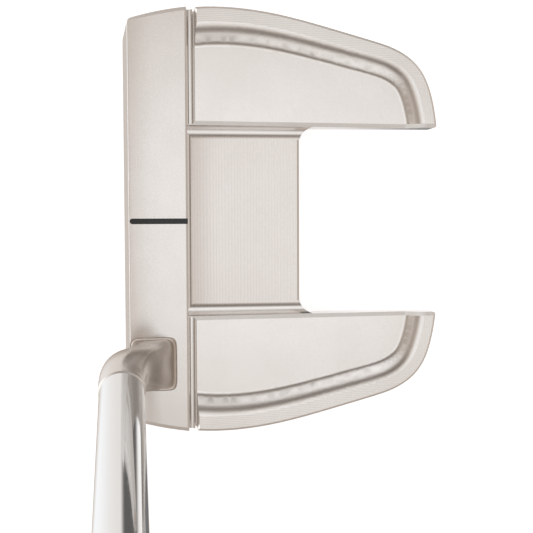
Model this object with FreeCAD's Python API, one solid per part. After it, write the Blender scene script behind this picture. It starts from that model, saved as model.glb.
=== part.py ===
import FreeCAD, Part

import math
import os

from FreeCAD import Vector

# Mallet putter, right-handed, standing at address on its sole.
# Millimetres. +Z up, +X from toe to heel, +Y from the face to the back.
# All sizes below are measured from the middle of the face's leading edge, on the sole plane.
# The finished parts are moved forward by SOLE_LAND_Y, so their origin is on the sole's front land.

# ---------------------------------------------------------------- driving sizes

# From the leading edge back to the middle of the sole's front land
SOLE_LAND_Y = 3.8

# Face bar
BAR_HEIGHT = 24.0
BAR_REAR_Y = 15.45
BAR_HALF_FRONT = 48.45
BAR_HALF_MIDDLE = 50.35
BAR_HALF_REAR = 51.70
BAR_MIDDLE_Y = 8.0
LOFT = 3.0
LEADING_EDGE_RADIUS = 1.6
CROWN_DROP = 0.5
CROWN_START_Y = 8.5
BAR_CORNER_Y = 1.2
BAR_END_CHAMFER = 1.0
BAR_REAR_CHAMFER = 0.45
BAR_FRONT_ROUND = 0.3
BAR_CORNER_RADIUS = 1.3
FLAT_SOLE_HALF = 33.0
SOLE_END_RADIUS = 46.0
SOLE_END_TURN = math.radians(45)

# Sight line
SIGHT_WIDTH = 1.35
SIGHT_FLOOR_Z = 23.0
SIGHT_FRONT_Y = 1.45
SIGHT_FILL_GAP = 0.06

# Rear frame: bridge and two wings
RIM_FRONT_Z = 19.6
RIM_SLOPE = 2.95
OPENING_HALF = 24.0
BRIDGE_REAR_Y = 45.1
OPENING_CORNER_RADIUS = 3.8
TAIL_Y = 80.8
OUTLINE = [(52.30, BAR_REAR_Y), (52.87, 26.1), (51.67, 38.25), (49.06, 50.45), (45.99, 62.7),
           (43.40, 70.6), (38.98, 76.2), (32.80, 79.15), (OPENING_HALF, TAIL_Y)]
RIM_CHAMFER = 0.6
RIM_WIDTH_FRONT = 2.1
RIM_WIDTH_TAIL = 1.9
SLOPE_WIDTH_FRONT = 7.6
SLOPE_WIDTH_TAIL = 5.8
SLOPE_LEAN = 1.6
POCKET_DEPTH = 2.4
POCKET_LIFT = 0.05
SLOPE_SECTIONS = 11
CURVE_SAMPLES = 19
GRIP_SECTION_POINTS = 32
NECK_SECTION_POINTS = 48
RUN_ON = 5.0
FUZZ = 0.001
INNER_CHAMFER = 0.95
GROOVE_REAR_Y = 18.0
GROOVE_FLOOR_Z = 16.35
GROOVE_EDGE_BREAK = 0.3
BRIDGE_FLOOR_Z = 12.0
BRIDGE_COVE = 3.2
BRIDGE_FRONT_COVE = 2.0
BRIDGE_REAR_CHAMFER = 0.6
UNDERSIDE_START_Y = 18.0
UNDERSIDE_RADIUS = 22.0
UNDERSIDE_STEEP = 35.0
UNDERSIDE_TAIL_ANGLE = 2.0

# Tongue of the rear frame, seated in a rebate under the bar, and its screws
TONGUE_HALF = 27.0
TONGUE_FRONT_Y = 6.0
TONGUE_THICKNESS = 4.0
TONGUE_CORNER = 2.0
TONGUE_GAP = 0.05
RELIEF_INNER_X = 3.4
RELIEF_OUTER_X = 16.6
RELIEF_FRONT_Y = 7.0
RELIEF_REAR_Y = 13.0
RELIEF_TOP_Z = 15.0
FRAME_SCREW_X = [-20.0, 0.0, 20.0]
FRAME_SCREW_Y = 10.6
FRAME_SCREW_RADIUS = 1.5
FRAME_SCREW_HEAD = 2.8
FRAME_SCREW_TOP_Z = 13.0
FRAME_SCREW_RECESS = 0.3
FRAME_SCREW_SOCKET = 2.0

# Removable sole weights and their screws
WEIGHT_X = 36.5
WEIGHT_Y = 7.95
WEIGHT_RADIUS = 6.25
WEIGHT_BOTTOM_Z = 0.6
WEIGHT_HEIGHT = 8.0
WEIGHT_EDGE_BREAK = 0.4
WEIGHT_SCREW_RADIUS = 2.0
WEIGHT_SCREW_HEAD = 3.75
WEIGHT_SCREW_TOP_Z = 15.6
WEIGHT_SCREW_RECESS = 0.5
WEIGHT_SCREW_SOCKET = 2.5
RUNNING_GAP = 0.05

# Screws: thickness of a head's rim, point of the shank as parts of its radius, and socket depths
SCREW_RIM = 0.3
SCREW_POINT_LENGTH = 0.4
SCREW_POINT_RADIUS = 0.6
FRAME_SOCKET_DEPTH = 1.3
WEIGHT_SOCKET_DEPTH = 2.0
TAPPED_HOLE_EXTRA = 1.0

# Shaft axis: lie angle, and where the axis meets the sole plane
LIE = 70.0
AXIS_X = 14.0
AXIS_Y = -0.5
CLUB_LENGTH = 864.0
COLLAR_TOP = 62.0
COLLAR_LENGTH = 1.2
COLLAR_RADIUS = 4.95
COLLAR_BREAK = 0.25
POST_RADIUS = 4.05
POST_LENGTH = 26.0
POST_CHAMFER = 0.6
GLUE = 0.10

# Neck
NECK_X = 34.75
NECK_Y = 6.9
NECK_HALF_X = 5.8
NECK_HALF_Y = 4.95
NECK_FOOT_POWER = 8.0
NECK_BEND_POWER = 3.2
NECK_FRONT_POWER = 2.2
NECK_TOP_RADIUS = 4.9
NECK_BEND = 54.0
NECK_LEVELS = [0.3, 0.6, 0.86]
NECK_STRAIGHT = [58.0, COLLAR_TOP - COLLAR_LENGTH]
NECK_FOOT_FLARE = 0.8
NECK_FOOT_LEVELS = [0.0, 0.15, 0.4, 0.7, 1.0]
NECK_FOOT_PART = 0.041
SPIGOT_RADIUS = 3.6
SPIGOT_LENGTH = 5.5
SPIGOT_BORE_EXTRA = 0.5
FIT_GAP = 0.02

# Shaft
SHAFT_TIP_RADIUS = 4.7
SHAFT_BUTT_RADIUS = 7.35
SHAFT_WALL = 0.55
SHAFT_FIRST_STEP = 165.0
SHAFT_STEPS = 13
SHAFT_STEP_PITCH = 28.0
SHAFT_STEP_RAMP = 1.2
SHAFT_END_GAP = 3.4

# Band, tape, grip and cap
GRIP_LENGTH = 264.0
CAP_THICKNESS = 3.0
TAPE_THICKNESS = 0.15
BAND_THICKNESS = 0.10
TAPE_START = 4.0
CAP_VENT_RADIUS = 1.0
# Each grip station: part of the length from the mouth, half width, depth to the flat, depth to the back
GRIP_STATIONS = [(0.00, 8.9, 8.7, 8.9), (0.12, 9.6, 9.0, 9.8), (0.35, 10.8, 9.6, 11.2),
                 (0.60, 12.2, 10.3, 13.2), (0.80, 13.0, 10.8, 15.6), (0.93, 13.2, 11.0, 16.4),
                 (1.00, 13.0, 10.9, 15.6)]
# Rounding of the cap's end: part of its thickness, and how far its section is drawn in
CAP_LEVELS = [(0.0, 0.0), (0.45, 0.05), (0.8, 0.45), (1.0, 1.2)]

# ---------------------------------------------------------------- derived values

FACE_SLOPE = math.tan(math.radians(LOFT))
QUARTER_ARC_MIDDLE = 1 - math.sqrt(0.5)
AXIS = Vector(math.cos(math.radians(LIE)), 0, math.sin(math.radians(LIE)))
AXIS_ACROSS = Vector(math.sin(math.radians(LIE)), 0, -math.cos(math.radians(LIE)))
RISE = Vector(0, 0, 1)

# Cutting shapes and blanks reach past the head by these
WIDE = 70.0
TALL = 40.0


def on_axis(distance):
    """Point on the shaft axis, at a distance from the sole plane along the axis."""
    return Vector(AXIS_X, AXIS_Y, 0) + AXIS * distance


# ---------------------------------------------------------------- small helpers

def box(x0, x1, y0, y1, z0, z1):
    return Part.makeBox(x1 - x0, y1 - y0, z1 - z0, Vector(x0, y0, z0))


def polygon_face(points):
    return Part.Face(Part.makePolygon(points + [points[0]]))


def wire_face(edges):
    return Part.Face(Part.Wire(edges))


def line(a, b):
    return Part.makeLine(a, b)


def arc(a, b, c):
    return Part.Arc(a, b, c).toShape()


def spline(points):
    curve = Part.BSplineCurve()
    curve.interpolate(points)
    return curve.toShape()


def even_spline(points):
    """Spline with the same step of its parameter between points, so that a loft of several is smooth."""
    last = len(points) - 1
    curve = Part.BSplineCurve()
    curve.interpolate(Points=points, Parameters=[i / last for i in range(last + 1)])
    return curve.toShape()


def mirrored(shape):
    return shape.mirror(Vector(0, 0, 0), Vector(1, 0, 0))


def revolved(profile, base, axis):
    """Solid of revolution from (radius, distance along the axis) pairs."""
    across = AXIS_ACROSS if axis == AXIS else Vector(1, 0, 0)
    points = [base + across * radius + axis * along for radius, along in profile]
    return polygon_face(points).revolve(base, axis, 360)


def countersunk_profile(shank, head, bottom, top):
    """Radius and height pairs of a countersunk screw with its head down and a 90 degree cone."""
    rim_end = bottom + SCREW_RIM
    cone_end = rim_end + head - shank
    point_start = top - shank * SCREW_POINT_LENGTH
    return [(0, bottom), (head, bottom), (head, rim_end), (shank, cone_end), (shank, point_start),
            (shank * SCREW_POINT_RADIUS, top), (0, top)]


def hexagon(across_flats, centre, height):
    radius = across_flats / math.sqrt(3)
    corners = []
    for i in range(6):
        angle = math.radians(60 * i)
        corners.append(centre + Vector(radius * math.cos(angle), radius * math.sin(angle), 0))
    return polygon_face(corners).extrude(Vector(0, 0, height))


def edges_where(shape, test):
    """Edges whose middle point passes the test."""
    found = []
    for edge in shape.Edges:
        middle = edge.valueAt((edge.FirstParameter + edge.LastParameter) / 2)
        if test(middle, edge):
            found.append(edge)
    return found


def mirrored_point(point):
    return Vector(-point.x, point.y, point.z)


def sole_envelope():
    """Heel-to-toe sole shape, extruded front to back: flat in the middle, swept up to the ends."""

    def sole_point(turn):
        return Vector(FLAT_SOLE_HALF + SOLE_END_RADIUS * math.sin(turn), -WIDE,
                      SOLE_END_RADIUS * (1 - math.cos(turn)))

    start, middle, end = sole_point(0), sole_point(SOLE_END_TURN / 2), sole_point(SOLE_END_TURN)
    top = Vector(end.x, end.y, 2 * BAR_HEIGHT)
    edges = [line(mirrored_point(start), start), arc(start, middle, end), line(end, top),
             line(top, mirrored_point(top)), line(mirrored_point(top), mirrored_point(end)),
             arc(mirrored_point(end), mirrored_point(middle), mirrored_point(start))]
    return wire_face(edges).extrude(Vector(0, 3 * WIDE, 0))


def offset_curve(edge, front_width, rear_width, height):
    """A curve along the heel side moved inwards, and run on straight past both of its ends."""
    first, last = edge.FirstParameter, edge.LastParameter
    points = []
    for i in range(CURVE_SAMPLES):
        part = i / (CURVE_SAMPLES - 1)
        place = first + (last - first) * part
        tangent = edge.tangentAt(place)
        inward = Vector(-tangent.y, tangent.x, 0)
        width = front_width + (rear_width - front_width) * part
        points.append(edge.valueAt(place) + inward * width)
    ahead = (points[0] - points[1]).normalize() * RUN_ON
    beyond = (points[-1] - points[-2]).normalize() * RUN_ON
    points = [points[0] + ahead] + points + [points[-1] + beyond]
    return [Vector(p.x, p.y, height) for p in points]


def outside_chamfer(edge, size, top):
    """Cutter for a 45 degree chamfer along a curve on the heel side, on a top at the given height."""
    far_y = TAIL_Y + 10
    outside = 0.4
    over = 0.8

    def section(inward, height):
        points = offset_curve(edge, inward, inward, height)
        far_front = Vector(WIDE, points[0].y, height)
        far_rear = Vector(WIDE, far_y, height)
        behind = Vector(points[-1].x, far_y, height)
        return Part.Wire([spline(points), line(points[-1], behind), line(behind, far_rear),
                          line(far_rear, far_front), line(far_front, points[0])])

    below = section(-outside, top - size - outside)
    above = section(size + over, top + over)
    return Part.makeLoft([below, above], True, True)


# ---------------------------------------------------------------- front bar

def bar_section(drop=0.0):
    """Cross-section of the bar, extruded across the whole width. The top can be lowered by drop."""
    top = BAR_HEIGHT - drop
    front_top_z = top - CROWN_DROP
    front_top = Vector(-WIDE, front_top_z * FACE_SLOPE, front_top_z)
    crown_end = Vector(-WIDE, CROWN_START_Y, top)
    run = CROWN_START_Y - front_top.y
    radius = (run * run + CROWN_DROP * CROWN_DROP) / (2 * CROWN_DROP)
    half_y = CROWN_START_Y - run / 2
    crown_middle = Vector(-WIDE, half_y, top - radius + math.sqrt(radius ** 2 - (run / 2) ** 2))
    loft = math.radians(LOFT)
    r = LEADING_EDGE_RADIUS
    nose_centre = Vector(-WIDE, r * (FACE_SLOPE + 1 / math.cos(loft)), r)

    def nose(turn):
        return nose_centre + Vector(0, -r * math.cos(turn), r * math.sin(turn))

    face_bottom = nose(loft)
    sole_front = nose(-math.pi / 2)
    rear_bottom = Vector(-WIDE, BAR_REAR_Y, 0)
    rear_top = Vector(-WIDE, BAR_REAR_Y, top)
    edges = [line(face_bottom, front_top), arc(front_top, crown_middle, crown_end),
             line(crown_end, rear_top), line(rear_top, rear_bottom), line(rear_bottom, sole_front),
             arc(sole_front, nose(loft / 2 - math.pi / 4), face_bottom)]
    return wire_face(edges).extrude(Vector(2 * WIDE, 0, 0))


def bar_end_curve():
    """Heel end of the bar seen from above, bowing outwards towards the back."""
    front = Vector(BAR_HALF_FRONT, BAR_CORNER_Y, 0)
    middle = Vector(BAR_HALF_MIDDLE, BAR_MIDDLE_Y, 0)
    rear = Vector(BAR_HALF_REAR, BAR_REAR_Y, 0)
    return arc(front, middle, rear)


def bar_plan():
    """Outline of the bar seen from above, as a tall prism."""
    ahead = 6.2
    narrowing = 2.0
    start = Vector(BAR_HALF_FRONT - narrowing, BAR_CORNER_Y - ahead, 0)
    front = Vector(BAR_HALF_FRONT, BAR_CORNER_Y, 0)
    rear = Vector(BAR_HALF_REAR, BAR_REAR_Y, 0)
    beyond = Vector(BAR_HALF_REAR, BAR_REAR_Y + 5, 0)
    half = [line(start, front), bar_end_curve(), line(rear, beyond)]
    edges = half + [mirrored(edge) for edge in half]
    edges.append(line(start, mirrored_point(start)))
    edges.append(line(beyond, mirrored_point(beyond)))
    return Part.Face(Part.Wire(Part.__sortEdges__(edges))).extrude(Vector(0, 0, TALL))


def bar_body():
    end_x = BAR_HALF_FRONT - 1.5
    body = bar_section().common(bar_plan())
    face_corners = edges_where(body, lambda m, e: abs(m.x) > end_x and m.y < BAR_CORNER_Y + 0.5
                               and 0.2 * BAR_HEIGHT < m.z < 0.8 * BAR_HEIGHT)
    body = body.makeFillet(BAR_CORNER_RADIUS, face_corners)
    body = body.common(sole_envelope())
    rear_edges = edges_where(body, lambda m, e: m.z > BAR_HEIGHT - 0.1 and m.y > BAR_REAR_Y - 0.1)
    body = body.makeChamfer(BAR_REAR_CHAMFER, rear_edges)
    front_edges = edges_where(body, lambda m, e: m.z > BAR_HEIGHT - 1.5 and m.y < 1.5
                              and e.Length > BAR_HALF_FRONT)
    body = body.makeFillet(BAR_FRONT_ROUND, front_edges)
    end_break = outside_chamfer(bar_end_curve(), BAR_END_CHAMFER, BAR_HEIGHT)
    return body.cut(end_break).cut(mirrored(end_break))


def tongue_shape(gap, height):
    """Plate under the bar, its front corners rounded. A gap widens it on its three free sides."""
    half = TONGUE_HALF + gap
    front = TONGUE_FRONT_Y - gap
    plate = box(-half, half, front, BAR_REAR_Y + 1, 0, height)
    corners = edges_where(plate, lambda m, e: m.y < front + 0.1 and abs(abs(m.x) - half) < 0.1)
    return plate.makeFillet(TONGUE_CORNER, corners)


def weight_port(x):
    """Round pocket in the sole for a weight, and the tapped hole above it."""
    ceiling = WEIGHT_BOTTOM_Z + WEIGHT_HEIGHT
    pocket = Part.makeCylinder(WEIGHT_RADIUS + RUNNING_GAP, ceiling + 2, Vector(x, WEIGHT_Y, -2))
    tapped = Part.makeCylinder(WEIGHT_SCREW_RADIUS + RUNNING_GAP,
                               WEIGHT_SCREW_TOP_Z + TAPPED_HOLE_EXTRA - ceiling,
                               Vector(x, WEIGHT_Y, ceiling))
    return pocket.fuse(tapped)


def sight_slot():
    """Slot across the bar's top, round at the face end and open at the back."""
    half = SIGHT_WIDTH / 2
    centre_y = SIGHT_FRONT_Y + half
    slot = box(-half, half, centre_y, BAR_REAR_Y + 1, SIGHT_FLOOR_Z, BAR_HEIGHT + 1)
    nose = Part.makeCylinder(half, BAR_HEIGHT + 1 - SIGHT_FLOOR_Z, Vector(0, centre_y, SIGHT_FLOOR_Z))
    return slot.fuse(nose).removeSplitter()


def front_bar():
    bar = bar_body()
    bar = bar.cut(tongue_shape(TONGUE_GAP, TONGUE_THICKNESS))
    relief = box(RELIEF_INNER_X, RELIEF_OUTER_X, RELIEF_FRONT_Y, RELIEF_REAR_Y, 0, RELIEF_TOP_Z)
    bar = bar.cut(relief).cut(mirrored(relief))
    for x in FRAME_SCREW_X:
        bar = bar.cut(Part.makeCylinder(FRAME_SCREW_RADIUS, FRAME_SCREW_TOP_Z + TAPPED_HOLE_EXTRA,
                                        Vector(x, FRAME_SCREW_Y, 0)))
    for x in (-WEIGHT_X, WEIGHT_X):
        bar = bar.cut(weight_port(x))
    bar = bar.cut(sight_slot())
    bore_depth = SPIGOT_LENGTH + SPIGOT_BORE_EXTRA
    bore = Part.makeCylinder(SPIGOT_RADIUS + FIT_GAP, bore_depth + 1,
                             Vector(NECK_X, NECK_Y, BAR_HEIGHT - bore_depth))
    return bar.cut(bore)


def sight_line_fill():
    return sight_slot().common(bar_section(SIGHT_FILL_GAP))


# ---------------------------------------------------------------- rear frame

def outline_edge():
    return spline([Vector(x, y, 0) for x, y in OUTLINE])


def frame_plan():
    """Plan of the wings and the bridge, a U open to the back, as a tall prism."""
    outer = outline_edge()
    front = Vector(OUTLINE[0][0], BAR_REAR_Y, 0)
    tail = Vector(OPENING_HALF, TAIL_Y, 0)
    r = OPENING_CORNER_RADIUS
    wall_end = Vector(OPENING_HALF, BRIDGE_REAR_Y + r, 0)
    bend = wall_end + Vector(-r * QUARTER_ARC_MIDDLE, -r * math.sqrt(0.5), 0)
    bridge_end = Vector(OPENING_HALF - r, BRIDGE_REAR_Y, 0)
    half = [outer, line(tail, wall_end), arc(wall_end, bend, bridge_end)]
    edges = half + [mirrored(edge) for edge in half]
    edges.append(line(bridge_end, mirrored_point(bridge_end)))
    edges.append(line(front, mirrored_point(front)))
    prism = Part.Face(Part.Wire(Part.__sortEdges__(edges))).extrude(Vector(0, 0, TALL))
    tail_corners = edges_where(prism, lambda m, e: m.y > TAIL_Y - 0.2
                               and abs(abs(m.x) - OPENING_HALF) < 0.1 and 0 < m.z < TALL)
    return prism.makeFillet(RIM_CHAMFER, tail_corners)


def rim_z(y):
    return RIM_FRONT_Z - (y - BAR_REAR_Y) * math.tan(math.radians(RIM_SLOPE))


def frame_profile():
    """Side view of the frame, extruded across the width. The rim slopes down to the back above.
    The underside sweeps up behind the bar in an S and runs back almost level."""
    steep = math.radians(UNDERSIDE_STEEP)
    tail = math.radians(UNDERSIDE_TAIL_ANGLE)
    r = UNDERSIDE_RADIUS
    end_y = TAIL_Y + 10

    def hollow(turn):
        return Vector(-WIDE, UNDERSIDE_START_Y + r * math.sin(turn), r * (1 - math.cos(turn)))

    turning = hollow(steep)

    def belly(turn):
        return turning + Vector(0, r * (math.sin(steep) - math.sin(turn)),
                                r * (math.cos(turn) - math.cos(steep)))

    level = belly(tail)
    rear_low = Vector(-WIDE, end_y, level.z + (end_y - level.y) * math.tan(tail))
    rear_high = Vector(-WIDE, end_y, rim_z(end_y))
    front_high = Vector(-WIDE, BAR_REAR_Y, RIM_FRONT_Z)
    front_low = Vector(-WIDE, BAR_REAR_Y, 0)
    edges = [line(front_low, hollow(0)), arc(hollow(0), hollow(steep / 2), turning),
             arc(turning, belly((steep + tail) / 2), level), line(level, rear_low),
             line(rear_low, rear_high), line(rear_high, front_high), line(front_high, front_low)]
    return wire_face(edges).extrude(Vector(2 * WIDE, 0, 0))


def pocket_levels():
    """Slope sections from above the rim down to the pocket floor: part of the way across, and height.
    The lean makes the upper, rounded part of the slope wider than the hollow part at its foot."""
    levels = []
    for i in range(SLOPE_SECTIONS):
        part = i / (SLOPE_SECTIONS - 1)
        fall = 0.5 - 0.5 * math.cos(math.pi * part ** SLOPE_LEAN)
        levels.append((part, POCKET_LIFT - (POCKET_DEPTH + POCKET_LIFT) * fall))
    return levels


def pocket_wire(part, height):
    """Closed outline of the heel wing's pocket at one level of its sloping side."""
    points = offset_curve(outline_edge(), RIM_WIDTH_FRONT + SLOPE_WIDTH_FRONT * part,
                          RIM_WIDTH_TAIL + SLOPE_WIDTH_TAIL * part, height)
    corner = Vector(points[-1].x, points[0].y, height)
    return Part.Wire([even_spline(points), line(points[-1], corner), line(corner, points[0])])


def tilted_to_rim(shape):
    """Moves a shape drawn on the level z = 0 onto the sloping rim plane."""
    shape.translate(Vector(0, 0, RIM_FRONT_Z))
    shape.rotate(Vector(0, BAR_REAR_Y, RIM_FRONT_Z), Vector(1, 0, 0), -RIM_SLOPE)
    return shape


def pocket_cutter():
    """The heel wing's pocket, a flat floor with an S-shaped side that follows the outline."""
    sections = [pocket_wire(part, height) for part, height in pocket_levels()]
    return tilted_to_rim(Part.makeLoft(sections, True, False))


def rim_edge_break():
    """Chamfer along the outside of the heel wing's rim."""
    return tilted_to_rim(outside_chamfer(outline_edge(), RIM_CHAMFER, 0))


def groove_cutters():
    """Ball-milled groove along the joint with the bar, cut straight through both wings."""
    radius = (GROOVE_REAR_Y - BAR_REAR_Y) / 2
    centre_z = GROOVE_FLOOR_Z + radius
    round_part = Part.makeCylinder(radius, 2 * WIDE, Vector(-WIDE, BAR_REAR_Y + radius, centre_z),
                                   Vector(1, 0, 0))
    open_part = box(-WIDE, WIDE, BAR_REAR_Y, GROOVE_REAR_Y, centre_z, TALL)
    edge_z = rim_z(GROOVE_REAR_Y)
    b = GROOVE_EDGE_BREAK
    triangle = polygon_face([Vector(-WIDE, GROOVE_REAR_Y - b, edge_z - 2 * b),
                             Vector(-WIDE, GROOVE_REAR_Y + 2 * b, edge_z + b),
                             Vector(-WIDE, GROOVE_REAR_Y - b, edge_z + b)])
    edge_break = triangle.extrude(Vector(2 * WIDE, 0, 0))
    return [round_part, open_part, edge_break]


def bridge_cutter():
    """Space above the bridge: a flat floor with a cove at each wing and a small cove at the bar."""
    half = OPENING_HALF
    r = BRIDGE_COVE
    k = r * QUARTER_ARC_MIDDLE
    z = BRIDGE_FLOOR_Z
    y = BAR_REAR_Y
    wall_foot = Vector(half, y, z + r)
    bend = Vector(half - k, y, z + k)
    floor_end = Vector(half - r, y, z)
    top = Vector(half, y, TALL)
    edges = [line(top, wall_foot), arc(wall_foot, bend, floor_end),
             line(floor_end, mirrored_point(floor_end)),
             arc(mirrored_point(floor_end), mirrored_point(bend), mirrored_point(wall_foot)),
             line(mirrored_point(wall_foot), mirrored_point(top)), line(mirrored_point(top), top)]
    space = wire_face(edges).extrude(Vector(0, WIDE, 0))
    return space.cut(bridge_front_cove())


def bridge_front_cove():
    """Material left along the bar's foot, its upper side hollow, sunk into the bar and the floor."""
    r = BRIDGE_FRONT_COVE
    k = r * QUARTER_ARC_MIDDLE
    sunk = 1.0
    y, z = BAR_REAR_Y, BRIDGE_FLOOR_Z
    top = Vector(-WIDE, y, z + r)
    bend = Vector(-WIDE, y + k, z + k)
    toe = Vector(-WIDE, y + r, z)
    top_behind = Vector(-WIDE, y - sunk, z + r)
    low_behind = Vector(-WIDE, y - sunk, z - sunk)
    low = Vector(-WIDE, y + r, z - sunk)
    edges = [arc(top, bend, toe), line(toe, low), line(low, low_behind), line(low_behind, top_behind),
             line(top_behind, top)]
    return wire_face(edges).extrude(Vector(2 * WIDE, 0, 0))


def bridge_edge_break():
    """Chamfer along the back edge of the bridge's floor."""
    c = BRIDGE_REAR_CHAMFER
    y, z = BRIDGE_REAR_Y, BRIDGE_FLOOR_Z
    half = OPENING_HALF - BRIDGE_COVE
    triangle = polygon_face([Vector(-half, y + c, z - 2 * c), Vector(-half, y + c, z + c),
                             Vector(-half, y - 2 * c, z + c)])
    return triangle.extrude(Vector(2 * half, 0, 0))


def inner_top_profile():
    """Height of the wing's top along its inner edge, from front to tail, on the rim-plane level."""
    points = []
    for part, height in reversed(pocket_levels()):
        side = pocket_wire(part, height).Edges[0]
        points.append(Vector(0, y_where_x(side, OPENING_HALF), height))
    return points


def y_where_x(edge, x):
    """Y of the point near the tail where a pocket edge crosses a given X."""
    low, high = (edge.FirstParameter + edge.LastParameter) / 2, edge.LastParameter
    for _ in range(40):
        middle = (low + high) / 2
        if edge.valueAt(middle).x > x:
            low = middle
        else:
            high = middle
    return edge.valueAt(low).y


def inner_edge_break():
    """Chamfer along the heel wing's inner edge. It follows the floor, the slope and the rim."""
    slope = inner_top_profile()
    front_y = BAR_REAR_Y - 5
    rear_y = TAIL_Y + 5
    top = 12.0
    outside = 0.5

    def section(x, drop):
        points = [Vector(x, p.y, p.z - drop) for p in slope]
        front = Vector(x, front_y, points[0].z)
        rear = Vector(x, rear_y, -drop)
        points[-1] = Vector(x, points[-1].y, -drop)
        rear_top = Vector(x, rear_y, top)
        front_top = Vector(x, front_y, top)
        return Part.Wire([line(front, points[0]), spline(points), line(points[-1], rear),
                          line(rear, rear_top), line(rear_top, front_top), line(front_top, front)])

    near = section(OPENING_HALF - outside, INNER_CHAMFER + outside)
    far = section(OPENING_HALF + INNER_CHAMFER, 0)
    return tilted_to_rim(Part.makeLoft([near, far], True, True))


def rear_frame():
    frame = frame_plan().common(frame_profile()).common(sole_envelope())
    for cutter in (pocket_cutter(), rim_edge_break(), inner_edge_break()):
        frame = frame.cut([cutter], FUZZ)
        frame = frame.cut([mirrored(cutter)], FUZZ)
    for cutter in groove_cutters() + [bridge_cutter(), bridge_edge_break()]:
        frame = frame.cut([cutter], FUZZ)
    frame = frame.fuse(tongue_shape(0, TONGUE_THICKNESS)).removeSplitter()
    for x in FRAME_SCREW_X:
        screw = screw_solid(x, FRAME_SCREW_Y, FRAME_SCREW_RADIUS, FRAME_SCREW_HEAD, FRAME_SCREW_RECESS,
                            FRAME_SCREW_TOP_Z, FIT_GAP)
        well = Part.makeCylinder(FRAME_SCREW_HEAD + FIT_GAP, FRAME_SCREW_RECESS + 1,
                                 Vector(x, FRAME_SCREW_Y, -1))
        frame = frame.cut(screw).cut(well)
    return frame


# ---------------------------------------------------------------- screws and weights

def screw_solid(x, y, shank, head, bottom, top, gap=0.0):
    """Countersunk screw with its head down. A gap grows it all round, for cutting its seat."""
    profile = []
    for radius, z in countersunk_profile(shank, head, bottom, top):
        profile.append((radius + gap if radius > 0 else 0, z))
    return revolved(profile, Vector(x, y, 0), RISE)


def socket_cutter(across_flats, x, y, bottom, depth):
    """Hexagonal socket in the underside of a screw's head, for a key."""
    return hexagon(across_flats, Vector(x, y, bottom - 1), depth + 1)


def frame_screws():
    screws = []
    for x in FRAME_SCREW_X:
        screw = screw_solid(x, FRAME_SCREW_Y, FRAME_SCREW_RADIUS - FIT_GAP, FRAME_SCREW_HEAD,
                            FRAME_SCREW_RECESS, FRAME_SCREW_TOP_Z)
        socket = socket_cutter(FRAME_SCREW_SOCKET, x, FRAME_SCREW_Y, FRAME_SCREW_RECESS,
                               FRAME_SOCKET_DEPTH)
        screws.append(screw.cut(socket))
    return Part.makeCompound(screws)


def sole_weight(x):
    top = WEIGHT_BOTTOM_Z + WEIGHT_HEIGHT
    b = WEIGHT_EDGE_BREAK
    profile = [(0, WEIGHT_BOTTOM_Z), (WEIGHT_RADIUS - b, WEIGHT_BOTTOM_Z),
               (WEIGHT_RADIUS, WEIGHT_BOTTOM_Z + b), (WEIGHT_RADIUS, top - b), (WEIGHT_RADIUS - b, top),
               (0, top)]
    disc = revolved(profile, Vector(x, WEIGHT_Y, 0), RISE)
    bottom = WEIGHT_BOTTOM_Z + WEIGHT_SCREW_RECESS
    seat = screw_solid(x, WEIGHT_Y, WEIGHT_SCREW_RADIUS, WEIGHT_SCREW_HEAD, bottom, WEIGHT_SCREW_TOP_Z,
                       RUNNING_GAP)
    well = Part.makeCylinder(WEIGHT_SCREW_HEAD + RUNNING_GAP, WEIGHT_SCREW_RECESS + 1,
                             Vector(x, WEIGHT_Y, bottom - 1))
    return disc.cut(seat).cut(well)


def weight_screw(x):
    bottom = WEIGHT_BOTTOM_Z + WEIGHT_SCREW_RECESS
    screw = screw_solid(x, WEIGHT_Y, WEIGHT_SCREW_RADIUS, WEIGHT_SCREW_HEAD, bottom, WEIGHT_SCREW_TOP_Z)
    return screw.cut(socket_cutter(WEIGHT_SCREW_SOCKET, x, WEIGHT_Y, bottom, WEIGHT_SOCKET_DEPTH))


# ---------------------------------------------------------------- neck

def superellipse(centre, across, along, half_across, half_along, power, front_power):
    """Closed smooth section: a rounded rectangle for a high power and an ellipse for a power of 2.
    The front power shapes the half that lies against the direction of along."""
    count = NECK_SECTION_POINTS
    points = []
    for i in range(count):
        angle = 2 * math.pi * (i + 0.5) / count
        c, s = math.cos(angle), math.sin(angle)
        n = power if s > 0 else front_power
        reach = (abs(c / half_across) ** n + abs(s / half_along) ** n) ** (-1 / n)
        points.append(centre + across * (reach * c) + along * (reach * s))
    curve = Part.BSplineCurve()
    curve.interpolate(Points=points, PeriodicFlag=True, Parameters=[i / count for i in range(count + 1)])
    return Part.Wire(curve.toShape())


def neck_station(part):
    """Centre of the neck and its sideways direction, from its foot on the bar (0) to its bend (1)."""
    foot = Vector(NECK_X, NECK_Y, BAR_HEIGHT)
    centre = foot + (on_axis(NECK_BEND) - foot) * part
    turn = math.radians(90 - LIE) * part ** 2
    return centre, Vector(math.cos(turn), 0, -math.sin(turn))


def neck_foot():
    """Concave foot ring that blends the neck into the bar's top, and the section on top of it."""
    rings = []
    for level in NECK_FOOT_LEVELS:
        centre = neck_station(level * NECK_FOOT_PART)[0]
        grow = NECK_FOOT_FLARE * (1 - math.sqrt(1 - (1 - level) ** 2))
        rings.append(superellipse(centre, Vector(1, 0, 0), Vector(0, 1, 0), NECK_HALF_X + grow,
                                  NECK_HALF_Y + grow, NECK_FOOT_POWER, NECK_FOOT_POWER))
    return Part.makeLoft(rings, True, False), rings[-1]


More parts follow.
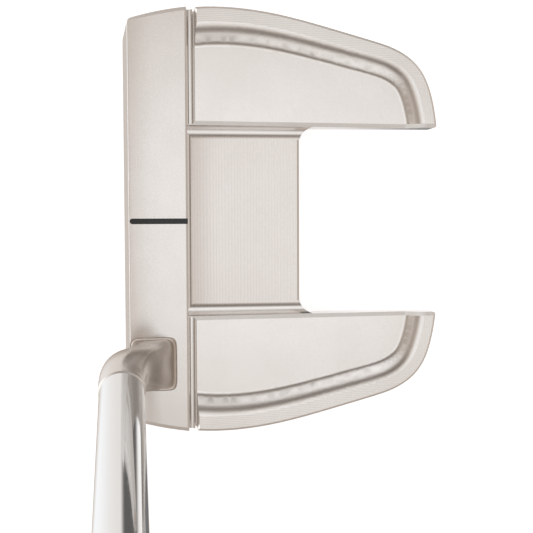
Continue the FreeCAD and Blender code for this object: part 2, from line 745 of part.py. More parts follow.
def neck():
    """Foot ring, leaning body, collar, the post that carries the shaft, and the spigot in the bar.
    The body's sections leave out the bend itself, so the loft turns there in one smooth curve."""
    backward = Vector(0, 1, 0)
    foot, foot_top = neck_foot()
    sections = [foot_top]
    for level in NECK_LEVELS:
        centre, across = neck_station(NECK_FOOT_PART + (1 - NECK_FOOT_PART) * level)
        half_x = NECK_HALF_X + (NECK_TOP_RADIUS - NECK_HALF_X) * level
        half_y = NECK_HALF_Y + (NECK_TOP_RADIUS - NECK_HALF_Y) * level
        power = NECK_FOOT_POWER + (NECK_BEND_POWER - NECK_FOOT_POWER) * level ** 2
        sections.append(superellipse(centre, across, backward, half_x, half_y, power, NECK_FRONT_POWER))
    for distance in NECK_STRAIGHT:
        sections.append(superellipse(on_axis(distance), AXIS_ACROSS, backward, NECK_TOP_RADIUS,
                                     NECK_TOP_RADIUS, 2, 2))
    body = Part.makeLoft(sections, True, False)
    spigot = Part.makeCylinder(SPIGOT_RADIUS, SPIGOT_LENGTH,
                               Vector(NECK_X, NECK_Y, BAR_HEIGHT - SPIGOT_LENGTH))
    return foot.fuse([body, collar_and_post(), spigot]).removeSplitter()


def collar_and_post():
    """Turned top of the neck: the collar the shaft stands on and the post inside the shaft."""
    start = COLLAR_TOP - COLLAR_LENGTH
    post_top = COLLAR_TOP + POST_LENGTH
    profile = [(0, start), (COLLAR_RADIUS, start), (COLLAR_RADIUS, COLLAR_TOP - COLLAR_BREAK),
               (COLLAR_RADIUS - COLLAR_BREAK, COLLAR_TOP), (POST_RADIUS, COLLAR_TOP),
               (POST_RADIUS, post_top - POST_CHAMFER), (POST_RADIUS - POST_CHAMFER, post_top),
               (0, post_top)]
    return revolved(profile, on_axis(0), AXIS)


# ---------------------------------------------------------------- shaft, glue, band, grip

def shaft_outer():
    """Radius and distance pairs of the stepped outside of the shaft, from tip to butt."""
    growth = (SHAFT_BUTT_RADIUS - SHAFT_TIP_RADIUS) / SHAFT_STEPS
    pairs = [(SHAFT_TIP_RADIUS, COLLAR_TOP)]
    radius = SHAFT_TIP_RADIUS
    for i in range(SHAFT_STEPS):
        along = COLLAR_TOP + SHAFT_FIRST_STEP + i * SHAFT_STEP_PITCH
        pairs.append((radius, along))
        radius += growth
        pairs.append((radius, along + SHAFT_STEP_RAMP))
    pairs.append((radius, CLUB_LENGTH - SHAFT_END_GAP))
    return pairs


def shaft():
    outer = shaft_outer()
    inner = [(radius - SHAFT_WALL, along) for radius, along in reversed(outer)]
    return revolved(outer + inner, on_axis(0), AXIS)


def sleeve(inner, outer, start, end):
    return revolved([(inner, start), (outer, start), (outer, end), (inner, end)], on_axis(0), AXIS)


def rod(radius, start, end):
    return revolved([(0, start), (radius, start), (radius, end), (0, end)], on_axis(0), AXIS)


def shaft_epoxy():
    return sleeve(POST_RADIUS, POST_RADIUS + GLUE, COLLAR_TOP, COLLAR_TOP + POST_LENGTH - POST_CHAMFER)


def shaft_radius_at(distance):
    steps = math.floor((distance - COLLAR_TOP - SHAFT_FIRST_STEP) / SHAFT_STEP_PITCH) + 1
    steps = max(0, min(SHAFT_STEPS, steps))
    return SHAFT_TIP_RADIUS + steps * (SHAFT_BUTT_RADIUS - SHAFT_TIP_RADIUS) / SHAFT_STEPS


def grip_mouth():
    return CLUB_LENGTH - CAP_THICKNESS - GRIP_LENGTH


def shaft_band():
    """Thin printed sleeve on one plain length between two shaft steps."""
    clearance = 1.0
    first = COLLAR_TOP + SHAFT_FIRST_STEP + (SHAFT_STEPS - 2) * SHAFT_STEP_PITCH
    start = first + SHAFT_STEP_RAMP + clearance
    end = first + SHAFT_STEP_PITCH - clearance
    radius = shaft_radius_at(start)
    return sleeve(radius, radius + BAND_THICKNESS, start, end)


def grip_tape():
    return sleeve(SHAFT_BUTT_RADIUS, SHAFT_BUTT_RADIUS + TAPE_THICKNESS, grip_mouth() + TAPE_START,
                  CLUB_LENGTH - SHAFT_END_GAP)


def grip_section(distance, half_width, flat, back):
    """Section of the grip: flat on the side away from the player, rounded behind."""
    across = Vector(0, 1, 0)
    up = AXIS_ACROSS
    centre = on_axis(distance)
    count = GRIP_SECTION_POINTS
    points = []
    for i in range(count):
        angle = 2 * math.pi * (i + 0.5) / count
        c, s = math.cos(angle), math.sin(angle)
        power = 3.4 if s < 0 else 2.1
        depth = flat if s < 0 else back
        u = math.copysign(abs(c) ** (2 / power), c) * half_width
        v = math.copysign(abs(s) ** (2 / power), s) * depth
        points.append(centre + across * u + up * v)
    curve = Part.BSplineCurve()
    curve.interpolate(Points=points, PeriodicFlag=True)
    return Part.Wire(curve.toShape())


def grip():
    start = grip_mouth()
    sections = []
    for part, half, flat, back in GRIP_STATIONS:
        sections.append(grip_section(start + part * GRIP_LENGTH, half, flat, back))
    body = Part.makeLoft(sections, True, False)
    return body.cut(rod(SHAFT_BUTT_RADIUS + TAPE_THICKNESS, start - 1, CLUB_LENGTH))


def grip_cap():
    half, flat, back = GRIP_STATIONS[-1][1:]
    start = CLUB_LENGTH - CAP_THICKNESS
    sections = []
    for part, inset in CAP_LEVELS:
        distance = start + part * CAP_THICKNESS
        sections.append(grip_section(distance, half - inset, flat - inset, back - inset))
    body = Part.makeLoft(sections, True, False)
    return body.cut(rod(CAP_VENT_RADIUS, start - 1, CLUB_LENGTH + 1))


# ---------------------------------------------------------------- write the parts

PARTS = {
    "front_bar": front_bar,
    "sight_line_fill": sight_line_fill,
    "rear_frame": rear_frame,
    "frame_screws": frame_screws,
    "toe_weight": lambda: sole_weight(-WEIGHT_X),
    "toe_weight_screw": lambda: weight_screw(-WEIGHT_X),
    "heel_weight": lambda: sole_weight(WEIGHT_X),
    "heel_weight_screw": lambda: weight_screw(WEIGHT_X),
    "neck": neck,
    "shaft": shaft,
    "shaft_epoxy": shaft_epoxy,
    "shaft_band": shaft_band,
    "grip_tape": grip_tape,
    "grip": grip,
    "grip_cap": grip_cap,
}

os.makedirs("parts", exist_ok=True)
for name, make in PARTS.items():
    shape = make()
    shape.translate(Vector(0, -SOLE_LAND_Y, 0))
    shape.exportStep("parts/" + name + ".step")
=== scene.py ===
import math

import bpy
from mathutils import Matrix, Vector


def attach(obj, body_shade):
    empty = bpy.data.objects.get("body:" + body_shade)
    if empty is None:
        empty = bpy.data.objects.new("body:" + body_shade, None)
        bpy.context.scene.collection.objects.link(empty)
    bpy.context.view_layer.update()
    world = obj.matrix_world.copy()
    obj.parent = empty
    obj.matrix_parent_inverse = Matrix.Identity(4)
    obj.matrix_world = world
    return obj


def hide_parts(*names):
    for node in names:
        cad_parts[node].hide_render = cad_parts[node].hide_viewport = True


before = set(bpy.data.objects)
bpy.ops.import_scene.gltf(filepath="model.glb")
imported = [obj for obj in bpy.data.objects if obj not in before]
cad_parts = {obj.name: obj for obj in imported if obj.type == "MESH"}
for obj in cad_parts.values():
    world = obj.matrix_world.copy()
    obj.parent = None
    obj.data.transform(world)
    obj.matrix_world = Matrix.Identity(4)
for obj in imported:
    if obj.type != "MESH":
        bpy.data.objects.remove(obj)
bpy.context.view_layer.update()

MM = 0.001

# ------------------------------------------------------------------ driving sizes, millimetres

# From the face's leading edge to the frame's origin
LAND_Y = 3.8

# Head. The face's milled arcs cover what lies above FACE_MILLING_START, near the top of the leading edge's
# round, and less than FACE_DEPTH behind the leading edge.
BAR_REAR_Y = 15.45 - LAND_Y
RIM_FRONT_Z = 19.6
RIM_SLOPE = math.tan(math.radians(2.95))
BRIDGE_FLOOR_Z = 12.0
FRAME_SCREW_Y = 10.6 - LAND_Y
WEIGHT_X = 36.5
WEIGHT_Y = 7.95 - LAND_Y
FACE_MILLING_START = 1.2
FACE_DEPTH = 1.3

# Shaft axis, from where it meets the sole plane
LIE = math.radians(70)
AXIS_FOOT = Vector((14.0, -0.5 - LAND_Y, 0))
AXIS = Vector((math.cos(LIE), 0, math.sin(LIE)))
AXIS_ACROSS = Vector((math.sin(LIE), 0, -math.cos(LIE)))
ACROSS = Vector((0, 1, 0))

# Grip. Its mouth is measured along the shaft axis from the sole plane. Each station holds the part of the
# length from the mouth, the half width, the depth to the flat and the depth to the back. The moulded
# grooves cover a panel along the grip, on both sides. The limits of a side are on a scale that runs from -1
# at the middle of the flat to 1 at the middle of the back.
GRIP_LENGTH = 264.0
GRIP_MOUTH = 597.0
GRIP_BORE = 7.5
GRIP_STATIONS = [(0.00, 8.9, 8.7, 8.9), (0.12, 9.6, 9.0, 9.8), (0.35, 10.8, 9.6, 11.2),
                 (0.60, 12.2, 10.3, 13.2), (0.80, 13.0, 10.8, 15.6), (0.93, 13.2, 11.0, 16.4),
                 (1.00, 13.0, 10.9, 15.6)]
GRIP_FLAT_POWER = 3.4
GRIP_BACK_POWER = 2.1
GRIP_AROUND = 144
GRIP_STEP = 0.6
GRIP_EDGE = 0.7
GRIP_EDGE_RINGS = 5
GRIP_LIP = 0.45
GRIP_LIP_LENGTH = 5.0
GRIP_PANEL_START = 14.0
GRIP_PANEL_END = 250.0
GRIP_PANEL_FADE = 6.0
GRIP_SIDE_START = -0.15
GRIP_SIDE_START_FADE = 0.25
GRIP_SIDE_END = 0.93
GRIP_SIDE_END_FADE = 0.12
GRIP_GROOVE_PITCH = 6.0
GRIP_GROOVE_DEPTH = 0.35
GRIP_GROOVE_WIDTH = 0.24
GRIP_GROOVE_SLANT = 7.0

# Middle between the band's two silver lines, along the shaft axis, and how far each line is from it
BAND_LINES_MIDDLE = 551.2
BAND_LINE_OFFSET = 9.0
BAND_LINE_HALF_WIDTH = 0.5

# The camera looks down at the head, with the heel at the bottom of the picture
CAMERA_PLACE = Vector((-0.63, -2.25, 254.36))
CAMERA_AIM = Vector((11.43, 31.48, 20.0))
CAMERA_ROLL = math.radians(-0.204)
CAMERA_SENSOR = 36.0
CAMERA_LENS = 63.9


def on_axis(distance):
    """Point on the shaft axis at a distance from the sole plane, in millimetres."""
    return AXIS_FOOT + AXIS * distance


# ------------------------------------------------------------------ node helpers

class Nodes:
    """Short calls for building one node tree."""

    def __init__(self, tree):
        self.tree = tree
        tree.nodes.clear()

    def add(self, kind, **settings):
        node = self.tree.nodes.new(kind)
        for name, value in settings.items():
            setattr(node, name, value)
        return node

    def join(self, value, socket):
        if hasattr(value, "is_linked"):
            self.tree.links.new(value, socket)
        else:
            socket.default_value = value

    def math(self, operation, a, b=0.0, c=0.0):
        node = self.add("ShaderNodeMath", operation=operation)
        for i, value in enumerate((a, b, c)):
            self.join(value, node.inputs[i])
        return node.outputs[0]

    def distance(self, a, b):
        squares = self.math("ADD", self.math("MULTIPLY", a, a), self.math("MULTIPLY", b, b))
        return self.math("SQRT", squares)

    def vector(self, operation, a, b=(0, 0, 0)):
        node = self.add("ShaderNodeVectorMath", operation=operation)
        self.join(a, node.inputs[0])
        self.join(b, node.inputs[1])
        return node.outputs["Value" if operation in ("DOT_PRODUCT", "LENGTH") else "Vector"]

    def smooth(self, value, low, high, out_low=0.0, out_high=1.0):
        node = self.add("ShaderNodeMapRange", interpolation_type="SMOOTHSTEP")
        for i, part in enumerate((value, low, high, out_low, out_high)):
            self.join(part, node.inputs[i])
        return node.outputs[0]

    def mix(self, factor, a, b):
        node = self.add("ShaderNodeMix", data_type="RGBA")
        self.join(factor, node.inputs[0])
        for value, socket in ((a, node.inputs[6]), (b, node.inputs[7])):
            self.join(value if hasattr(value, "is_linked") else (*value, 1), socket)
        return node.outputs[2]

    def noise(self, place, scale, detail=2.0, roughness=0.5):
        node = self.add("ShaderNodeTexNoise")
        self.join(place, node.inputs["Vector"])
        node.inputs["Scale"].default_value = scale
        node.inputs["Detail"].default_value = detail
        node.inputs["Roughness"].default_value = roughness
        return node.outputs["Fac"]

    def bump(self, height, distance, strength=1.0, normal=None):
        node = self.add("ShaderNodeBump")
        node.inputs["Strength"].default_value = strength
        node.inputs["Distance"].default_value = distance
        self.join(height, node.inputs["Height"])
        if normal is not None:
            self.join(normal, node.inputs["Normal"])
        return node.outputs["Normal"]


def surface(name, build):
    """A material whose Principled inputs come from build(nodes, place in mm, x, y, z)."""
    material = bpy.data.materials.new(name)
    material.use_nodes = True
    nodes = Nodes(material.node_tree)
    shader = nodes.add("ShaderNodeBsdfPrincipled")
    output = nodes.add("ShaderNodeOutputMaterial")
    nodes.join(shader.outputs[0], output.inputs[0])
    coordinates = nodes.add("ShaderNodeTexCoord")
    place = nodes.vector("MULTIPLY", coordinates.outputs["Object"], (1000, 1000, 1000))
    split = nodes.add("ShaderNodeSeparateXYZ")
    nodes.join(place, split.inputs[0])
    inputs = build(nodes, place, *split.outputs)
    for socket, value in inputs.items():
        if isinstance(value, tuple) and len(value) == 3:
            value = (*value, 1)
        nodes.join(value, shader.inputs[socket])
    return material


# ------------------------------------------------------------------ metals

NICKEL_DARK = (0.795, 0.765, 0.740)
NICKEL_LIGHT = (0.820, 0.793, 0.770)
NICKEL_GRAIN = (0.74, 0.71, 0.68)
# Darker milled tone of the bridge floor, with painted shade towards the bar
BRIDGE_TONE_AND_SHADE = (0.60, 0.54, 0.50)
# Painted shade for the neck's lower body
NECK_PAINTED_SHADE = (0.50, 0.43, 0.375)
NECK_BODY_TOP = 53.0
NECK_BODY_BLEND = 9.0
MILLING_PITCH = 0.8
FACE_MILLING_PITCH = 0.9
FACE_MILLING_DROP = 60.0
RIM_HATCH = 7.0
TURNED_RINGS = 40.0


def above(nodes, value, edge, blur=0.02):
    """1 where the value is above the edge, 0 below it."""
    return nodes.smooth(value, edge - blur, edge + blur)


def scuffs(nodes, place):
    """A few faint fine scratches lying both ways across the metal."""
    first = nodes.noise(nodes.vector("MULTIPLY", place, (0.05, 2.6, 0.4)), 1.0, 1.0, 0.4)
    second = nodes.noise(nodes.vector("MULTIPLY", place, (2.2, 0.06, 0.5)), 1.0, 1.0, 0.4)
    return nodes.math("MAXIMUM", nodes.smooth(first, 0.72, 0.76), nodes.smooth(second, 0.73, 0.77))


def satin(nodes, place, roughness, relief=None, shade=None):
    """Bead-blasted warm nickel: fine grain and a slow tone drift, over any tool marks."""
    grain = nodes.noise(place, 3.2, 3.0, 0.6)
    drift = nodes.noise(place, 0.08, 2.0, 0.5)
    tone = nodes.mix(nodes.smooth(drift, 0.3, 0.7), NICKEL_DARK, NICKEL_LIGHT)
    tone = nodes.mix(nodes.smooth(grain, 0.35, 0.65, 0.0, 0.10), tone, NICKEL_GRAIN)
    if shade is not None:
        tone = nodes.mix(shade[0], tone, shade[1])
    worn = scuffs(nodes, place)
    rough = nodes.smooth(grain, 0.3, 0.7, roughness - 0.03, roughness + 0.03)
    rough = nodes.math("SUBTRACT", rough, nodes.math("MULTIPLY", worn, 0.04))
    height = nodes.math("SUBTRACT", grain, nodes.math("MULTIPLY", worn, 0.6))
    if relief is not None:
        height = nodes.math("ADD", height, relief)
    return {"Base Color": tone, "Metallic": 1.0, "Roughness": rough,
            "Normal": nodes.bump(height, 0.004 * MM)}


def neck_satin(nodes, place, x, y, z):
    """Painted shade: the leaning body is darker than the bend above it."""
    # Painted shade on the neck's lower body, fading out towards the bend
    body_shade = nodes.smooth(z, NECK_BODY_TOP, NECK_BODY_TOP - NECK_BODY_BLEND, 0.10, 0.80)
    return satin(nodes, place, 0.22, None, (body_shade, NECK_PAINTED_SHADE))


def bar_satin(nodes, place, x, y, z):
    """Shallow milled arcs on the face, round a point under the sole, and plain satin elsewhere."""
    on_face = nodes.math("MULTIPLY", above(nodes, nodes.math("MULTIPLY", y, -1.0), LAND_Y - FACE_DEPTH),
                         above(nodes, z, FACE_MILLING_START))
    swing = nodes.distance(x, nodes.math("ADD", z, FACE_MILLING_DROP))
    arcs = nodes.math("SINE", nodes.math("MULTIPLY", swing, 2 * math.pi / FACE_MILLING_PITCH))
    return satin(nodes, place, 0.24, nodes.math("MULTIPLY", nodes.math("MULTIPLY", arcs, on_face), 4.0))


def frame_satin(nodes, place, x, y, z):
    """Cutter lines along the bridge's floor and crossing ones on the rims. The floor gets a darker milled
    tone, plus painted shade that deepens towards the bar.
    """
    near_floor = nodes.math("ABSOLUTE", nodes.math("SUBTRACT", z, BRIDGE_FLOOR_Z))
    on_floor = nodes.math("SUBTRACT", 1.0, nodes.smooth(near_floor, 0.05, 0.15))
    wander = nodes.noise(nodes.vector("MULTIPLY", place, (0.01, 0.3, 0.0)), 1.0, 2.0, 0.6)
    line_place = nodes.math("ADD", nodes.math("MULTIPLY", y, 2 * math.pi / MILLING_PITCH),
                            nodes.math("MULTIPLY", wander, 6.0))
    lines = nodes.math("MULTIPLY", nodes.math("SINE", line_place), nodes.math("MULTIPLY", on_floor, 2.6))

    rim_fall = nodes.math("MULTIPLY", nodes.math("SUBTRACT", y, BAR_REAR_Y), RIM_SLOPE)
    rim_height = nodes.math("SUBTRACT", RIM_FRONT_Z, rim_fall)
    on_rim = nodes.smooth(nodes.math("SUBTRACT", z, rim_height), -0.12, -0.04)
    one_way = nodes.math("SINE", nodes.math("MULTIPLY", nodes.math("ADD", x, y), RIM_HATCH))
    other_way = nodes.math("SINE", nodes.math("MULTIPLY", nodes.math("SUBTRACT", x, y), RIM_HATCH))
    crossing = nodes.math("MULTIPLY", one_way, other_way)
    hatch = nodes.math("MULTIPLY", crossing, nodes.math("MULTIPLY", on_rim, 0.8))
    # Painted shade: the floor's colour darkens towards the bar's rear wall, over a darker milled tone
    tone_and_bar_shade = nodes.smooth(y, BAR_REAR_Y + 9.0, BAR_REAR_Y + 1.0, 0.36, 0.95)
    floor_tone_and_shade = nodes.math("MULTIPLY", tone_and_bar_shade, on_floor)
    return satin(nodes, place, 0.21, nodes.math("ADD", lines, hatch), (floor_tone_and_shade, BRIDGE_TONE_AND_SHADE))


def chrome(nodes, place, x, y, z):
    """Bright plate with faint polishing streaks along the shaft."""
    streak = nodes.noise(nodes.vector("MULTIPLY", place, (1.0, 1.0, 0.03)), 2.0, 3.0, 0.6)
    rough = nodes.smooth(streak, 0.3, 0.7, 0.05, 0.09)
    return {"Base Color": (0.87, 0.88, 0.89), "Metallic": 1.0, "Roughness": rough}


def turned(colour, rough, centre_x, centre_y):
    """Steel with fine rings round an upright axis."""
    def build(nodes, place, x, y, z):
        radius = nodes.distance(nodes.math("SUBTRACT", x, centre_x), nodes.math("SUBTRACT", y, centre_y))
        rings = nodes.math("SINE", nodes.math("MULTIPLY", radius, TURNED_RINGS))
        return {"Base Color": colour, "Metallic": 1.0, "Roughness": rough,
                "Normal": nodes.bump(rings, 0.004 * MM)}
    return build


def flat(colour, rough):
    """Plain paint or plastic with a little grain."""
    def build(nodes, place, x, y, z):
        grain = nodes.noise(place, 2.5, 2.0, 0.5)
        return {"Base Color": colour, "Roughness": nodes.smooth(grain, 0.3, 0.7, rough - 0.06, rough + 0.06),
                "Normal": nodes.bump(grain, 0.01 * MM)}
    return build


def rubber(nodes, place, x, y, z):
    """Matt moulded rubber, a little shinier and greyer where hands have worn it."""
    pores = nodes.noise(place, 1.6, 4.0, 0.65)
    wear = nodes.smooth(nodes.noise(place, 0.035, 2.0, 0.5), 0.45, 0.65)
    tone = nodes.mix(wear, (0.026, 0.026, 0.028), (0.040, 0.039, 0.039))
    rough = nodes.smooth(pores, 0.3, 0.7, 0.66, 0.82)
    rough = nodes.math("SUBTRACT", rough, nodes.math("MULTIPLY", wear, 0.12))
    return {"Base Color": tone, "Roughness": rough, "Normal": nodes.bump(pores, 0.06 * MM)}


def band_film(nodes, place, x, y, z):
    """Plain dark film with a thin silver line near each end."""
    away = nodes.vector("SUBTRACT", place, tuple(AXIS_FOOT))
    along = nodes.vector("DOT_PRODUCT", away, tuple(AXIS))
    from_middle = nodes.math("ABSOLUTE", nodes.math("SUBTRACT", along, BAND_LINES_MIDDLE))
    off_line = nodes.math("ABSOLUTE", nodes.math("SUBTRACT", from_middle, BAND_LINE_OFFSET))
    silver = nodes.smooth(off_line, BAND_LINE_HALF_WIDTH + 0.05, BAND_LINE_HALF_WIDTH - 0.05)
    rough = nodes.smooth(nodes.noise(place, 0.8), 0.3, 0.7, 0.14, 0.22)
    return {"Base Color": nodes.mix(silver, (0.05, 0.05, 0.055), (0.55, 0.55, 0.56)),
            "Metallic": silver, "Roughness": rough}


def paper(nodes, place, x, y, z):
    """Adhesive tape, with fibres along the shaft."""
    fibres = nodes.noise(nodes.vector("MULTIPLY", place, (3.0, 3.0, 0.4)), 1.0, 4.0, 0.7)
    return {"Base Color": nodes.mix(fibres, (0.72, 0.69, 0.60), (0.84, 0.82, 0.75)), "Roughness": 0.85,
            "Normal": nodes.bump(fibres, 0.03 * MM)}


SCREW_STEEL = (0.40, 0.40, 0.41)
WEIGHT_STEEL = (0.62, 0.61, 0.60)

MATERIALS = {
    "front_bar": surface("bar_satin", bar_satin),
    "neck": surface("neck_satin", neck_satin),
    "rear_frame": surface("frame_satin", frame_satin),
    "sight_line_fill": surface("sight_paint", flat((0.012, 0.012, 0.013), 0.25)),
    "frame_screws": surface("frame_screw_steel", turned((0.45, 0.45, 0.46), 0.28, 0.0, FRAME_SCREW_Y)),
    "toe_weight": surface("toe_weight_steel", turned(WEIGHT_STEEL, 0.22, -WEIGHT_X, WEIGHT_Y)),
    "toe_weight_screw": surface("toe_screw_steel", turned(SCREW_STEEL, 0.25, -WEIGHT_X, WEIGHT_Y)),
    "heel_weight": surface("heel_weight_steel", turned(WEIGHT_STEEL, 0.22, WEIGHT_X, WEIGHT_Y)),
    "heel_weight_screw": surface("heel_screw_steel", turned(SCREW_STEEL, 0.25, WEIGHT_X, WEIGHT_Y)),
    "shaft": surface("shaft_chrome", chrome),
    "shaft_epoxy": surface("epoxy", flat((0.75, 0.70, 0.55), 0.35)),
    "shaft_band": surface("band_film", band_film),
    "grip_tape": surface("tape_paper", paper),
    "grip": surface("grip_solid", rubber),
    "grip_cap": surface("cap_plastic", flat((0.05, 0.05, 0.055), 0.5)),
}

for name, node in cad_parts.items():
    node.data.materials.clear()
    node.data.materials.append(MATERIALS[name])


# ------------------------------------------------------------------ grip

def between_stations(t):
    """Half width, depth to the flat and depth to the back of the grip, smoothly between its stations."""
    last = len(GRIP_STATIONS) - 1
    i = 0
    while i < last - 1 and t > GRIP_STATIONS[i + 1][0]:
        i += 1
    start, end = GRIP_STATIONS[i], GRIP_STATIONS[i + 1]
    before, after = GRIP_STATIONS[max(i - 1, 0)], GRIP_STATIONS[min(i + 2, last)]
    span = end[0] - start[0]
    part = (t - start[0]) / span
    sizes = []
    for k in (1, 2, 3):
        rate_in = (end[k] - before[k]) / (end[0] - before[0]) * span
        rate_out = (after[k] - start[k]) / (after[0] - start[0]) * span
        rise = end[k] - start[k]
        a = rate_in + rate_out - 2 * rise
        b = 3 * rise - 2 * rate_in - rate_out
        sizes.append(start[k] + part * (rate_in + part * (b + part * a)))
    return sizes


def bell(value, centre, width):
    """A smooth bump of height 1, zero beyond the width on either side of its centre."""
    away = min(abs(value - centre) / width, 1.0)
    return 0.5 + 0.5 * math.cos(math.pi * away)


def grip_relief(along, turn, depth_side):
    """How far the rubber stands out (+) or is cut in (-), in millimetres. depth_side is -1 to 1."""
    lip = GRIP_LIP * bell(along, GRIP_LIP_LENGTH / 2, GRIP_LIP_LENGTH / 2)
    panel_start = max((along - GRIP_PANEL_START) / GRIP_PANEL_FADE, 0.0)
    panel_end = max((GRIP_PANEL_END - along) / GRIP_PANEL_FADE, 0.0)
    panel = min(panel_start, panel_end, 1.0)
    side_start = max((depth_side - GRIP_SIDE_START) / GRIP_SIDE_START_FADE, 0.0)
    side_end = max((GRIP_SIDE_END - depth_side) / GRIP_SIDE_END_FADE, 0.0)
    side = min(side_start, side_end, 1.0)
    slant = abs(turn) * GRIP_GROOVE_SLANT
    phase = ((along + slant) / GRIP_GROOVE_PITCH) % 1.0
    groove = bell(phase, 0.5, GRIP_GROOVE_WIDTH) * panel * side
    return lip - GRIP_GROOVE_DEPTH * groove


def grip_ring(along, inset=0.0):
    """Points round the grip at a distance from its mouth. An inset draws the section in."""
    half, flat, back = between_stations(along / GRIP_LENGTH)
    ring = []
    for i in range(GRIP_AROUND):
        angle = 2 * math.pi * i / GRIP_AROUND
        c, s = math.cos(angle), math.sin(angle)
        power = GRIP_FLAT_POWER if s < 0 else GRIP_BACK_POWER
        u = math.copysign(abs(c) ** (2 / power), c) * half
        v = math.copysign(abs(s) ** (2 / power), s) * (flat if s < 0 else back)
        turn = math.atan2(v, abs(u))
        length = math.hypot(u, v)
        scale = 1 + (grip_relief(along, turn, s) - inset) / length
        ring.append(on_axis(GRIP_MOUTH + along) + (ACROSS * u + AXIS_ACROSS * v) * scale)
    return ring


def bore_ring(along):
    """Points round the grip's bore at a distance from its mouth."""
    ring = []
    for i in range(GRIP_AROUND):
        angle = 2 * math.pi * i / GRIP_AROUND
        outward = ACROSS * math.cos(angle) + AXIS_ACROSS * math.sin(angle)
        ring.append(on_axis(GRIP_MOUTH + along) + outward * GRIP_BORE)
    return ring


def make_grip():
    """Rubber pistol grip: flat front, rounded back, rolled lip at the mouth, slanting moulded grooves."""
    rings = [bore_ring(GRIP_LENGTH), bore_ring(GRIP_EDGE)]
    for i in range(1, GRIP_EDGE_RINGS):
        turn = i / GRIP_EDGE_RINGS * math.pi / 2
        short = GRIP_EDGE * (1 - math.sin(turn))
        rings.append(grip_ring(short, short))
    steps = round(GRIP_LENGTH / GRIP_STEP)
    for i in range(steps + 1):
        rings.append(grip_ring(GRIP_EDGE + (GRIP_LENGTH - GRIP_EDGE) * i / steps))
    vertices = [point * MM for ring in rings for point in ring]
    faces = []
    for i in range(len(rings)):
        low, high = i * GRIP_AROUND, (i + 1) % len(rings) * GRIP_AROUND
        for j in range(GRIP_AROUND):
            k = (j + 1) % GRIP_AROUND
            faces.append((low + j, low + k, high + k, high + j))
    mesh = bpy.data.meshes.new("grip_rubber")
    mesh.from_pydata(vertices, [], faces)
    mesh.polygons.foreach_set("use_smooth", [True] * len(faces))
    mesh.materials.append(surface("grip_rubber", rubber))
    grip = bpy.data.objects.new("grip_rubber", mesh)
    bpy.context.scene.collection.objects.link(grip)
    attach(grip, "root")
    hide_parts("grip")


make_grip()


# ------------------------------------------------------------------ floor, light, camera

FLOOR_HALF_WIDTH = 4000.0
FLOOR_DROP = 0.2
FLOOR_GLOW = 0.62


def floor_paint(nodes, place, x, y, z):
    """Pale paper, clear when it is seen from below, so that the sole can be looked at."""
    from_below = nodes.add("ShaderNodeNewGeometry").outputs["Backfacing"]
    return {"Base Color": (0.80, 0.83, 0.86), "Roughness": 0.9, "Emission Color": (1, 1, 1),
            "Emission Strength": FLOOR_GLOW, "Alpha": nodes.math("SUBTRACT", 1.0, from_below)}


def make_floor():
    """Wide floor just under the sole. Reflections leave it out and show the world's lower half."""
    mesh = bpy.data.meshes.new("floor")
    half = FLOOR_HALF_WIDTH * MM
    corners = [(-half, -half, 0), (half, -half, 0), (half, half, 0), (-half, half, 0)]
    mesh.from_pydata(corners, [], [(0, 1, 2, 3)])
    floor = bpy.data.objects.new("floor", mesh)
    floor.location.z = -FLOOR_DROP * MM
    bpy.context.scene.collection.objects.link(floor)
    mesh.materials.append(surface("floor_paint", floor_paint))
    floor.visible_glossy = False


# For each side of the putter, its direction and the studio's brightness at these angles from straight up
ANGLES = (0, 8, 15, 21, 30, 42, 52, 62, 75, 95, 120, 150, 165, 180)
STUDIO = {
    "back": ((0, 1), (0.86, 0.88, 0.92, 0.94, 0.66, 0.14, 0.14, 0.50, 0.66, 0.40, 0.50, 1.00, 1.05, 0.40)),
    "face": ((0, -1), (0.86, 0.80, 0.70, 0.54, 0.36, 0.34, 0.50, 0.90, 1.20, 1.20, 0.88, 0.82, 0.50, 0.38)),
    "heel": ((1, 0), (0.86, 0.79, 0.64, 0.42, 0.16, 0.24, 0.72, 0.90, 0.78, 0.35, 0.45, 0.45, 0.45, 0.36)),
    "toe": ((-1, 0), (0.86, 0.86, 0.60, 0.30, 0.12, 0.24, 0.76, 0.94, 0.80, 0.35, 0.70, 0.66, 0.40, 0.34)),
}
STUDIO_STRENGTH = 1.26
BACKDROP = (0.93, 0.93, 0.93, 1)

# Dark panels low in the studio, seen in the shaft and on the neck's rear side: azimuth from the toe
# towards the back, elevation, and the angles from a panel's middle where it is full and where it ends
PANELS = ((27, -40, 13, 24), (112, -60, 9, 18))
PANEL_DEPTH = 0.85


def studio_colour(brightness):
    """Dark parts of the studio are warm, bright parts are white."""
    warmth = max(0.0, min(1.0, (0.80 - brightness) / 0.25))
    return (brightness, brightness * (1 - 0.12 * warmth), brightness * (1 - 0.22 * warmth), 1)


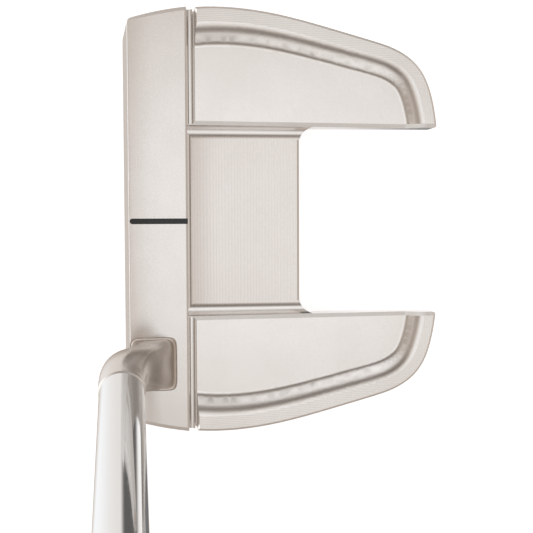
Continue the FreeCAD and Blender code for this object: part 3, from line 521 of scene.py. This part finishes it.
def make_world():
    """Soft studio light from the sides' colours at each height. The camera sees a pale backdrop instead."""
    world = bpy.data.worlds.new("studio")
    world.use_nodes = True
    nodes = Nodes(world.node_tree)
    direction = nodes.add("ShaderNodeTexCoord").outputs["Generated"]
    split = nodes.add("ShaderNodeSeparateXYZ")
    nodes.join(direction, split.inputs[0])
    x, y, z = split.outputs
    angle = nodes.math("DIVIDE", nodes.math("ARCCOSINE", z), math.pi)
    across = nodes.math("MAXIMUM", nodes.math("SUBTRACT", 1.0, nodes.math("MULTIPLY", z, z)), 0.00001)
    total = (0, 0, 0)
    for side, ((side_x, side_y), levels) in STUDIO.items():
        ramp = nodes.add("ShaderNodeValToRGB", name=side)
        elements = ramp.color_ramp.elements
        while len(elements) < len(ANGLES):
            elements.new(1.0)
        for element, degrees, brightness in zip(elements, ANGLES, levels):
            element.position = degrees / 180
            element.color = studio_colour(brightness)
        nodes.join(angle, ramp.inputs[0])
        facing = nodes.math("ADD", nodes.math("MULTIPLY", x, side_x), nodes.math("MULTIPLY", y, side_y))
        toward = nodes.math("MAXIMUM", facing, 0.0)
        share = nodes.math("DIVIDE", nodes.math("MULTIPLY", toward, toward), across)
        scaled = nodes.vector("SCALE", ramp.outputs[0])
        nodes.join(share, scaled.node.inputs["Scale"])
        total = nodes.vector("ADD", total, scaled)
    for azimuth, elevation, full, end in PANELS:
        turn, lift = math.radians(azimuth), math.radians(elevation)
        middle = (-math.cos(turn) * math.cos(lift), math.sin(turn) * math.cos(lift), math.sin(lift))
        edges = (math.cos(math.radians(end)), math.cos(math.radians(full)))
        panel = nodes.smooth(nodes.vector("DOT_PRODUCT", direction, middle), *edges, 0.0, PANEL_DEPTH)
        total = nodes.mix(panel, total, (0.0, 0.0, 0.0))
    background = nodes.add("ShaderNodeBackground")
    background.inputs["Strength"].default_value = STUDIO_STRENGTH
    nodes.join(total, background.inputs["Color"])
    backdrop = nodes.add("ShaderNodeBackground")
    backdrop.inputs["Color"].default_value = BACKDROP
    mixer = nodes.add("ShaderNodeMixShader")
    nodes.join(nodes.add("ShaderNodeLightPath").outputs["Is Camera Ray"], mixer.inputs[0])
    nodes.join(background.outputs[0], mixer.inputs[1])
    nodes.join(backdrop.outputs[0], mixer.inputs[2])
    output = nodes.add("ShaderNodeOutputWorld")
    nodes.join(mixer.outputs[0], output.inputs[0])
    bpy.context.scene.world = world


def make_camera():
    """Camera set by its place, aim and roll."""
    data = bpy.data.cameras.new("camera")
    data.sensor_width = CAMERA_SENSOR
    data.lens = CAMERA_LENS
    data.clip_start = 0.005
    data.clip_end = 50.0
    camera = bpy.data.objects.new("camera", data)
    forward = (CAMERA_AIM - CAMERA_PLACE).normalized()
    heel = Vector((1, 0, 0))
    level_down = (heel - forward * heel.dot(forward)).normalized()
    level_right = level_down.cross(forward)
    down = level_down * math.cos(CAMERA_ROLL) + level_right * math.sin(CAMERA_ROLL)
    turn = Matrix((down.cross(forward), -down, -forward)).transposed()
    camera.matrix_world = Matrix.Translation(CAMERA_PLACE * MM) @ turn.to_4x4()
    bpy.context.scene.collection.objects.link(camera)
    bpy.context.scene.camera = camera


make_floor()
make_world()
make_camera()
bpy.context.scene.view_settings.view_transform = "Standard"
